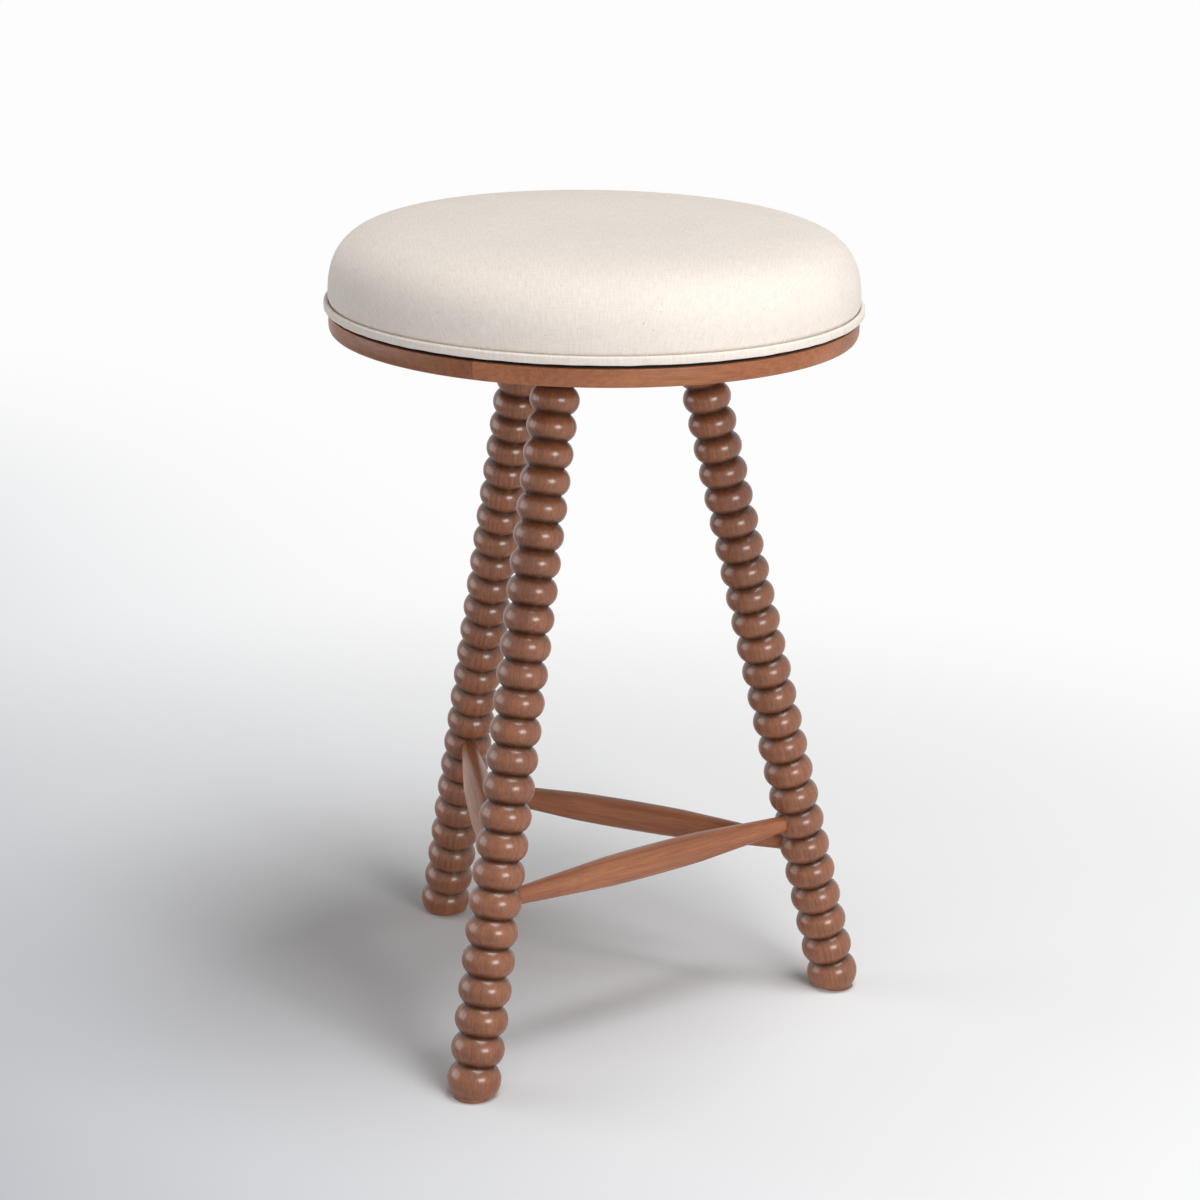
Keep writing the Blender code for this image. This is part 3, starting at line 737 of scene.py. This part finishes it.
def make_legs():
    """Turned legs with their foot lips, kerfed tenons and drilled sockets."""
    for leg in LEGS:
        place = leg_frame(leg)
        back = place.inverted()
        up = (back.to_3x3() @ Vector((0, 0, 1))).normalized()
        slope = 1.0 / place.col[2].z
        length = SEAT_UNDERSIDE * slope
        tenon_top = FRAME_TOP * slope
        body = turned(bead_outline(length), LEG_STEPS)
        cut_by_plane(body, back @ Vector((0, 0, FOOT_LIP_HEIGHT)), -up)
        cut_by_plane(body, back @ Vector((0, 0, SEAT_UNDERSIDE - CLEAR)), up)
        item = new_object("turned_leg_" + leg, body)

        lip_radius = NECK_RADIUS * bead_size(0.5) - FOOT_LIP_SET_IN
        ends = turned([(lip_radius, -FIRST_BEAD_HEIGHT), (lip_radius, FIRST_BEAD_HEIGHT)], LEG_STEPS)
        cut_by_plane(ends, back @ AXIS, -up)
        tenon = turned([(TENON_RADIUS, length - TENON_OVERLAP), (TENON_RADIUS, tenon_top + TENON_RADIUS)],
                       TENON_STEPS)
        cut_by_plane(tenon, back @ Vector((0, 0, FRAME_TOP)), up)
        add_copy(ends, tenon, Matrix())
        tenon.free()
        combine(item, ends, "UNION")

        cuts = bmesh.new()
        top, tip = 0.5 * KERF_TOP_WIDTH, 0.5 * KERF_TIP_WIDTH
        over = TENON_RADIUS
        flare = (top - tip) / KERF_DEPTH * over
        kerf = [(-tip, -KERF_DEPTH), (tip, -KERF_DEPTH), (top + flare, over), (-top - flare, over)]
        add_prism(cuts, kerf, 2 * TENON_RADIUS, Matrix.Translation((0, 0, tenon_top)))
        for start, end, number in STRETCHERS.values():
            if leg not in (start, end):
                continue
            across, span = stretcher_frame(start, end, number)
            near, far = BEAD_RADIUS - SOCKET_DEPTH - CLEAR, 2 * BEAD_RADIUS
            ends = (near, far) if leg == start else (span - far, span - near)
            radius = STRETCHER_END_RADIUS + CLEAR
            socket = turned([(radius, ends[0]), (radius, ends[1])], STRETCHER_STEPS)
            add_copy(cuts, socket, back @ across)
            socket.free()
        combine(item, cuts, "DIFFERENCE")
        shift = (0.31 * LEGS.index(leg), 0.17, 0.0)
        # The legs' grooves take painted shade
        look = wood_look("stained_wood_leg_" + leg, place, LEG_LIGHT, LEG_DARK, shift, LEG_COAT, LEG_GROOVE_SHADE)
        finish_piece(item, place, look, "stained_wood", "leg_" + leg)


def make_stretchers():
    """Turned stretchers whose ends go into the legs' sockets."""
    for i, (name, (start, end, number)) in enumerate(STRETCHERS.items()):
        place, length = stretcher_frame(start, end, number)
        item = new_object("turned_" + name, turned(stretcher_outline(length), STRETCHER_STEPS))
        shift = (0.23 * i, 0.41, 0.0)
        look = wood_look("stained_wood_" + name, place, WOOD_LIGHT, WOOD_DARK, shift, STRETCHER_COAT)
        finish_piece(item, place, look, "stained_wood", name, smooth_below=STRETCHER_SMOOTH_BELOW)


def tongue_outline(radius, extra):
    """Edge of the core board, or the ring's groove, from bottom to top."""
    middle = 0.5 * (SEAT_UNDERSIDE + FRAME_TOP)
    half = 0.5 * TONGUE_THICKNESS + extra
    return [(radius, middle - half), (radius + TONGUE_LENGTH, middle - half),
            (radius + TONGUE_LENGTH, middle + half), (radius, middle + half)]


def screw_hole(bottom, top):
    """The hole that one screw passes through, with its countersink, about Z."""
    head = SEAT_UNDERSIDE + SCREW_HEAD_HEIGHT
    rim = SCREW_HEAD_RADIUS + CLEAR
    return turned([(rim, bottom), (rim, SEAT_UNDERSIDE + SCREW_RIM_HEIGHT), (SCREW_HOLE_RADIUS, head),
                   (SCREW_HOLE_RADIUS, top)], SCREW_STEPS)


def screw_places():
    """Where the screws' axes meet the floor's height."""
    boxes = [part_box("seat_screw_%d" % (i + 1)) for i in range(SCREWS)]
    return [Matrix.Translation(((low.x + high.x) / 2, (low.y + high.y) / 2, 0)) for low, high in boxes]


def make_core():
    """The board inside the ring, with the holes for screws and leg tenons."""
    edge = RING_INNER - CLEAR
    core = turned([(edge, SEAT_UNDERSIDE), *tongue_outline(edge, 0.0), (edge, FRAME_TOP)], SEAT_STEPS)
    item = new_object("core_board", core)
    axis_place = Matrix.Translation(AXIS)
    back = axis_place.inverted()
    cuts = bmesh.new()
    for place in screw_places():
        hole = screw_hole(SEAT_UNDERSIDE - TENON_RADIUS, FRAME_TOP + TENON_RADIUS)
        add_copy(cuts, hole, back @ place)
        hole.free()
    for leg in LEGS:
        place = leg_frame(leg)
        slope = 1.0 / place.col[2].z
        radius = TENON_RADIUS + CLEAR
        ends = (SEAT_UNDERSIDE * slope - 2 * radius, FRAME_TOP * slope + 2 * radius)
        hole = turned([(radius, ends[0]), (radius, ends[1])], TENON_STEPS)
        add_copy(cuts, hole, back @ place)
        hole.free()
    combine(item, cuts, "DIFFERENCE")
    # The board's grain runs along X
    grain = axis_place @ Matrix.Rotation(0.5 * math.pi, 4, "Y")
    look = wood_look("stained_wood_core", grain, WOOD_LIGHT, WOOD_DARK, (0.5, 0.9, 0.2), CORE_COAT,
                     roughness=CORE_ROUGHNESS)
    finish_piece(item, axis_place, look, "stained_wood", "seat_core")


def ring_outline():
    """Closed outline of a ring segment, from its groove over the top to the rounded lower edge."""
    groove = [(r + (CLEAR if r > RING_INNER else 0.0), z) for r, z in tongue_outline(RING_INNER, CLEAR)]
    top = arc_points((RING_RADIUS - RING_TOP_ROUND, FRAME_TOP - RING_TOP_ROUND),
                     (RING_TOP_ROUND, RING_TOP_ROUND), 90, 0, ROUND_POINTS)
    bottom = arc_points((RING_RADIUS - RING_EDGE_SET_IN, SEAT_UNDERSIDE + RING_EDGE_HEIGHT),
                        (RING_EDGE_SET_IN, RING_EDGE_HEIGHT), 0, -90, ROUND_POINTS)
    return [(RING_INNER, SEAT_UNDERSIDE), *groove, (RING_INNER, FRAME_TOP), *top, *bottom]


def make_ring():
    """The ring's segments, with a slot for a spline in each end."""
    quarter = 2 * math.pi / RING_SEGMENTS
    gap = CLEAR / RING_RADIUS
    middle = 0.5 * (SEAT_UNDERSIDE + FRAME_TOP)
    for i, tone in enumerate(RING_TONES):
        joint = RING_JOINT_AZIMUTH + quarter * i
        bm = turned(ring_outline(), SEGMENT_STEPS, closed=True, angle=quarter - gap, start=joint + 0.5 * gap)
        name = "seat_ring_segment_%d" % (i + 1)
        item = new_object("ring_segment_%d" % (i + 1), bm)
        slots = bmesh.new()
        for end in (joint, joint + quarter):
            radius = RING_RADIUS - SPLINE_FROM_EDGE
            spot = Vector((radius * math.cos(end), radius * math.sin(end), middle))
            add_box(slots, SPLINE_SLOT, Matrix.Translation(spot) @ Matrix.Rotation(end, 4, "Z"))
        combine(item, slots, "DIFFERENCE")
        # Each segment is sawn from a straight board, so its grain runs along its chord
        centre = joint + 0.5 * quarter
        out = Vector((math.cos(centre), math.sin(centre), 0))
        chord = Vector((-math.sin(centre), math.cos(centre), 0))
        lay = Matrix((out, chord.cross(out), chord)).transposed().to_4x4()
        grain = Matrix.Translation(AXIS + RING_RADIUS * out) @ lay
        light = tuple(tone * c for c in WOOD_LIGHT)
        dark = tuple(tone * c for c in WOOD_DARK)
        shift = (0.37 * i, 0.05, 0.13 * i)
        look = wood_look("stained_wood_ring_%d" % (i + 1), grain, light, dark, shift, RING_COAT)
        finish_piece(item, Matrix.Translation(AXIS), look, "stained_wood", name)


def crown_profile(slack):
    """Fine (radius, height) points from the crown's middle to its widest line. Slack lowers the middle."""
    points = []
    for i in range(CROWN_SAMPLES + 1):
        turn = 0.5 * math.pi * (1 - i / CROWN_SAMPLES)
        radius = PAD_RADIUS * math.cos(turn) ** (2 / CROWN_FLATNESS) if i else 0.0
        rise = math.sin(turn) ** (2 / CROWN_SHOULDER)
        dip = slack * max(0.0, 1 - (radius / CUSHION_SLACK_RADIUS) ** 2)
        points.append((radius, CROWN_START + rise * (CROWN_TOP - CROWN_START) - dip))
    return points


def along_profile(points):
    """Running length at each point of a profile."""
    lengths = [0.0]
    for (r0, z0), (r1, z1) in zip(points, points[1:]):
        lengths.append(lengths[-1] + math.hypot(r1 - r0, z1 - z0))
    return lengths


def point_at(points, lengths, length):
    """The profile's point at a running length."""
    low, high = 0, len(lengths) - 1
    while high - low > 1:
        half = (low + high) // 2
        low, high = (half, high) if lengths[half] <= length else (low, half)
    share = (length - lengths[low]) / (lengths[high] - lengths[low])
    return tuple(a + (b - a) * share for a, b in zip(points[low], points[high]))


def disc_spot(a, b):
    """Map a square's place, each way from -1 to 1, to a share of the radius and a turn, with even cells."""
    if a == 0 and b == 0:
        return 0.0, 0.0
    if abs(a) > abs(b):
        return abs(a), (0.0 if a > 0 else math.pi) + 0.25 * math.pi * b / a
    return abs(b), (0.5 if b > 0 else -0.5) * math.pi - 0.25 * math.pi * a / b


def cushion_mesh(slack):
    """A closed cushion of even four-sided cells: crown, crease at the seam, tucked edge and flat bottom."""
    bm = bmesh.new()
    cells = CUSHION_CELLS
    profile = crown_profile(slack)
    lengths = along_profile(profile)

    def sheet(place_of):
        rows = []
        for i in range(cells + 1):
            row = []
            for j in range(cells + 1):
                share, turn = disc_spot(2 * i / cells - 1, 2 * j / cells - 1)
                r, z = place_of(share)
                row.append(bm.verts.new((r * math.cos(turn), r * math.sin(turn), z - PAD_BOTTOM)))
            rows.append(row)
        return rows

    def skin(rows):
        for low, high in zip(rows, rows[1:]):
            for j in range(cells):
                bm.faces.new((low[j], high[j], high[j + 1], low[j + 1]))

    def rim(rows):
        return ([row[0] for row in rows] + rows[-1][1:] + [row[-1] for row in reversed(rows[:-1])]
                + list(reversed(rows[0][1:-1])))

    top = sheet(lambda share: point_at(profile, lengths, share * lengths[-1]))
    skin(top)
    turn_radius = SEAM_RADIUS - PAD_TURN
    bottom = sheet(lambda share: (share * turn_radius, PAD_BOTTOM))
    skin(bottom)
    loops = [rim(top)]
    # From the widest line the cloth rolls in to the seam, then goes down behind the band and under
    crease = arc_points((PAD_RADIUS - CREASE_DRAW_IN, CROWN_START),
                        (CREASE_DRAW_IN, CROWN_START_ABOVE_SEAM), 0, -90, CREASE_POINTS)
    tuck = arc_points((turn_radius, PAD_BOTTOM + PAD_TURN), (PAD_TURN, PAD_TURN), 0, -90, ROUND_POINTS)
    for r, z in [*crease[1:], (SEAM_RADIUS, SEAM - CREASE_DEPTH), *tuck[:-1]]:
        loop = []
        for vert in loops[0]:
            turn = math.atan2(vert.co.y, vert.co.x)
            loop.append(bm.verts.new((r * math.cos(turn), r * math.sin(turn), z - PAD_BOTTOM)))
        loops.append(loop)
    loops.append(rim(bottom))
    for high, low in zip(loops, loops[1:]):
        for i in range(len(high)):
            j = (i + 1) % len(high)
            bm.faces.new((high[i], low[i], low[j], high[j]))
    bmesh.ops.recalc_face_normals(bm, faces=bm.faces[:])
    return bm


def inflate(item):
    """Blow the cushion up as cloth held from its widest line down. No point moves by more than the swell."""
    held_below = CROWN_START - PAD_BOTTOM + SAME_HEIGHT
    start = [v.co.copy() for v in item.data.vertices]
    held = item.vertex_groups.new(name="held")
    held.add([v.index for v in item.data.vertices if v.co.z <= held_below], 1.0, "REPLACE")
    cloth = item.modifiers.new("cloth", "CLOTH")
    cloth.settings.vertex_group_mass = "held"
    cloth.settings.use_pressure = True
    cloth.settings.uniform_pressure_force = CUSHION_PRESSURE
    cloth.settings.tension_stiffness = cloth.settings.compression_stiffness = CUSHION_TENSION
    cloth.settings.shear_stiffness = CUSHION_SHEAR
    cloth.settings.bending_stiffness = CUSHION_BENDING
    cloth.settings.quality = CUSHION_QUALITY
    cloth.settings.effector_weights.gravity = 0.0
    for number in range(1, CUSHION_FRAMES + 1):
        bpy.context.scene.frame_set(number)
    apply_modifiers(item)
    for vert, first in zip(item.data.vertices, start):
        move = vert.co - first
        if move.length > CUSHION_SWELL:
            vert.co = first + move * (CUSHION_SWELL / move.length)
    item.vertex_groups.clear()


def make_cushion():
    """The filled cover."""
    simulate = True
    item = new_object("cushion", cushion_mesh(CUSHION_SLACK if simulate else 0.0))
    if simulate:
        inflate(item)
    smooth = item.modifiers.new("smooth", "SUBSURF")
    smooth.levels = smooth.render_levels = 1
    apply_modifiers(item)
    place = Matrix.Translation(AXIS + Vector((0, 0, PAD_BOTTOM)))
    finish_piece(item, place, fabric_look("linen", unrolled_cushion), "linen", "seat_cover", "foam_pad",
                 smooth_below=CUSHION_SMOOTH_BELOW)


def make_band():
    """The folded strip sewn round the seam, with a slightly uneven lower edge."""
    inner = SEAM_RADIUS + CLEAR
    edge = BAND_EDGE_ROUND
    lower = arc_points((BAND_RADIUS - edge, PAD_BOTTOM + edge), (edge, edge), -90, 0, ROUND_POINTS)
    half = 0.5 * (BAND_RADIUS - inner)
    upper = arc_points((inner + half, SEAM - CREASE_DEPTH), (half, CREASE_DEPTH), 0, 180, 2 * ROUND_POINTS)
    bm = turned([(inner, PAD_BOTTOM), *lower, *upper], 2 * SEAT_STEPS, closed=True)
    for vert in bm.verts:
        turn = math.atan2(vert.co.y, vert.co.x)
        share = max(0.0, 1 - (vert.co.z - PAD_BOTTOM) / (SEAM - PAD_BOTTOM))
        wave = sum(math.sin(count * turn + count) for count in BAND_WAVES) / len(BAND_WAVES)
        vert.co.z += share * BAND_WAVE * (1 + wave)
    bmesh.ops.translate(bm, verts=bm.verts[:], vec=(0, 0, -PAD_BOTTOM))
    item = new_object("sewn_band", bm)
    place = Matrix.Translation(AXIS + Vector((0, 0, PAD_BOTTOM)))
    finish_piece(item, place, fabric_look("linen_band", unrolled_band), "linen", "cover_band")


def make_lining():
    """The black felt between the wooden seat and the pad."""
    radius = RING_RADIUS - LINING_INSET
    item = new_object("black_lining", turned([(radius, LINING_BOTTOM), (radius, LINING_TOP)], SEAT_STEPS))
    cuts = bmesh.new()
    back = Matrix.Translation(-AXIS)
    for place in screw_places():
        ends = (LINING_BOTTOM - PAD_TURN, LINING_TOP + PAD_TURN)
        hole = turned([(SCREW_HOLE_RADIUS, ends[0]), (SCREW_HOLE_RADIUS, ends[1])], SCREW_STEPS)
        add_copy(cuts, hole, back @ place)
        hole.free()
    combine(item, cuts, "DIFFERENCE")
    finish_piece(item, Matrix.Translation(AXIS), felt_look("black_cloth"), "black_cloth", "dust_cover")


def make_screws():
    """Countersunk screws with a straight slot. Returns their steel for the staples."""
    steel = steel_look("steel")
    for i, place in enumerate(screw_places()):
        name = "seat_screw_%d" % (i + 1)
        low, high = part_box(name)
        head = [(SCREW_HEAD_RADIUS, low.z), (SCREW_HEAD_RADIUS, low.z + SCREW_RIM_HEIGHT)]
        shank = [(SCREW_RADIUS, low.z + SCREW_HEAD_HEIGHT), (SCREW_RADIUS, high.z - SCREW_RADIUS)]
        body = turned([*head, *shank, (0.5 * SCREW_RADIUS, high.z)], SCREW_STEPS)
        item = new_object("countersunk_screw_%d" % (i + 1), body)
        slot = bmesh.new()
        add_box(slot, DRIVER_SLOT, Matrix.Translation((0, 0, low.z)))
        combine(item, slot, "DIFFERENCE")
        finish_piece(item, place, steel, "steel", name)
    return steel


def paint_hidden_nodes(steel):
    """Give each solid that stays a look of its own kind."""
    bare = wood_look("bare_wood", Matrix(), PALE_WOOD, PALE_WOOD_DARK, (0.1, 0.2, 0.3), 0.0,
                     roughness=BARE_ROUGHNESS)
    plies = plywood_look("plywood")
    for name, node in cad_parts.items():
        if node.hide_render:
            continue
        look = steel if name.startswith("cover_staple") else plies if name == "seat_board" else bare
        node.data.materials.clear()
        node.data.materials.append(look)


def make_floor():
    """The pale floor, with painted shade toward the front left. The camera and reflections see it fade to
    plain white away from the stool.
    """
    bm = bmesh.new()
    half, height = FLOOR_HALF, -FLOOR_DROP
    corners = ((-half, -half), (half, -half), (half, half), (-half, half))
    bm.faces.new([bm.verts.new((x, y, height)) for x, y in corners])
    item = new_object("floor", bm)
    look = Look("floor_white")
    place = Matrix.Translation(AXIS) @ Matrix.Rotation(CAMERA_TURN, 4, "Z")
    x, y, _ = look.axes(look.spot(place))
    distance = look.distance(x, y)
    # Painted shade: the floor turns greyer and cooler toward the front left, where the light falls off
    slope = look.total((x, FLOOR_SLOPE[0]), (y, FLOOR_SLOPE[1]))
    short = look.math("MAXIMUM", look.math("SUBTRACT", FLOOR_EDGE, slope), 0.0)
    share = look.math("MINIMUM", look.math("POWER", look.math("DIVIDE", short, FLOOR_SPAN), 2.0), 1.0)
    share = look.math("MULTIPLY", share, look.spread(distance, PAINTED_SHADE_START, PAINTED_SHADE_END, 1.0, 0.0))
    path = look.add("LightPath")
    seen = look.math("MAXIMUM", path.outputs["Is Camera Ray"], path.outputs["Is Glossy Ray"])
    seen = look.math("MAXIMUM", seen, path.outputs["Is Transmission Ray"])
    look.put(look.shader.inputs["Base Color"], look.mix(share, FLOOR_WHITE, FLOOR_PAINTED_SHADE))
    look.shader.inputs["Roughness"].default_value = 1.0
    look.shader.inputs["Specular IOR Level"].default_value = 0.0

    # Far from the stool the camera and reflections see plain white, with the same painted shade, instead of
    # the lit floor
    glow = look.add("Emission")
    look.put(glow.inputs["Color"], look.mix(share, (BACKGROUND,) * 3, FLOOR_PAINTED_SHADE))
    far = look.spread(distance, FAR_START, FAR_END)
    blend = look.add("MixShader")
    look.put(blend.inputs[0], look.math("MULTIPLY", seen, far))
    look.put(blend.inputs[1], look.shader.outputs[0])
    look.put(blend.inputs[2], glow.outputs[0])
    look.put(look.tree.nodes["Material Output"].inputs["Surface"], blend.outputs[0])
    item.data.materials.append(look.material)


def make_lights():
    """Three area lamps and a dim white world that the camera and reflections see as plain white."""
    for name, (turn, height, distance, size, watts) in LAMPS.items():
        data = bpy.data.lights.new(name, "AREA")
        data.shape = "RECTANGLE"
        data.size, data.size_y = size
        data.energy = watts
        lamp = bpy.data.objects.new(name, data)
        bpy.context.scene.collection.objects.link(lamp)
        turn, height = math.radians(turn), math.radians(height)
        side = CAMERA_TURN + turn
        level = math.cos(height)
        away = Vector((math.sin(side) * level, -math.cos(side) * level, math.sin(height)))
        lamp.location = AXIS + LAMP_AIM + distance * away
        lamp.rotation_euler = away.to_track_quat("Z", "Y").to_euler()
    world = bpy.data.worlds.new("studio")
    world.use_nodes = True
    bpy.context.scene.world = world
    tree = world.node_tree
    light = tree.nodes["Background"]
    light.inputs["Color"].default_value = (1.0, 1.0, 1.0, 1.0)
    light.inputs["Strength"].default_value = WORLD_LIGHT
    white = tree.nodes.new("ShaderNodeBackground")
    white.inputs["Color"].default_value = (1.0, 1.0, 1.0, 1.0)
    white.inputs["Strength"].default_value = BACKGROUND
    path = tree.nodes.new("ShaderNodeLightPath")
    blend = tree.nodes.new("ShaderNodeMixShader")
    seen = path.outputs["Is Camera Ray"]
    for ray in ("Is Glossy Ray", "Is Transmission Ray"):
        either = tree.nodes.new("ShaderNodeMath")
        either.operation = "MAXIMUM"
        tree.links.new(seen, either.inputs[0])
        tree.links.new(path.outputs[ray], either.inputs[1])
        seen = either.outputs[0]
    tree.links.new(seen, blend.inputs[0])
    tree.links.new(light.outputs[0], blend.inputs[1])
    tree.links.new(white.outputs[0], blend.inputs[2])
    tree.links.new(blend.outputs[0], tree.nodes["World Output"].inputs["Surface"])


def make_camera():
    """The photograph's camera, which stands CAMERA_TURN round the seat's axis from the -Y side."""
    place = Matrix.Translation(AXIS) @ Matrix.Rotation(CAMERA_TURN, 4, "Z")
    level = math.cos(CAMERA_PITCH)
    ahead = Vector((level * math.sin(CAMERA_YAW), level * math.cos(CAMERA_YAW), -math.sin(CAMERA_PITCH)))
    right = Vector((math.cos(CAMERA_YAW), -math.sin(CAMERA_YAW), 0))
    up = right.cross(ahead)
    roll_right = right * math.cos(CAMERA_ROLL) + up * math.sin(CAMERA_ROLL)
    roll_up = up * math.cos(CAMERA_ROLL) - right * math.sin(CAMERA_ROLL)
    data = bpy.data.cameras.new("photo_camera")
    data.sensor_width = SENSOR_WIDTH
    data.lens = FOCAL_PIXELS * SENSOR_WIDTH / PHOTO_SIDE
    data.clip_start, data.clip_end = CLIP_START, CLIP_END
    camera = bpy.data.objects.new("photo_camera", data)
    bpy.context.scene.collection.objects.link(camera)
    turn = Matrix((roll_right, roll_up, -ahead)).transposed().to_4x4()
    spot = Matrix.Translation((0, -CAMERA_DISTANCE, CAMERA_HEIGHT))
    camera.matrix_world = place @ spot @ turn
    bpy.context.scene.camera = camera


make_legs()
make_stretchers()
make_core()
make_ring()
make_cushion()
make_band()
make_lining()
paint_hidden_nodes(make_screws())
make_floor()
make_lights()
make_camera()
bpy.context.scene.view_settings.view_transform = "Standard"
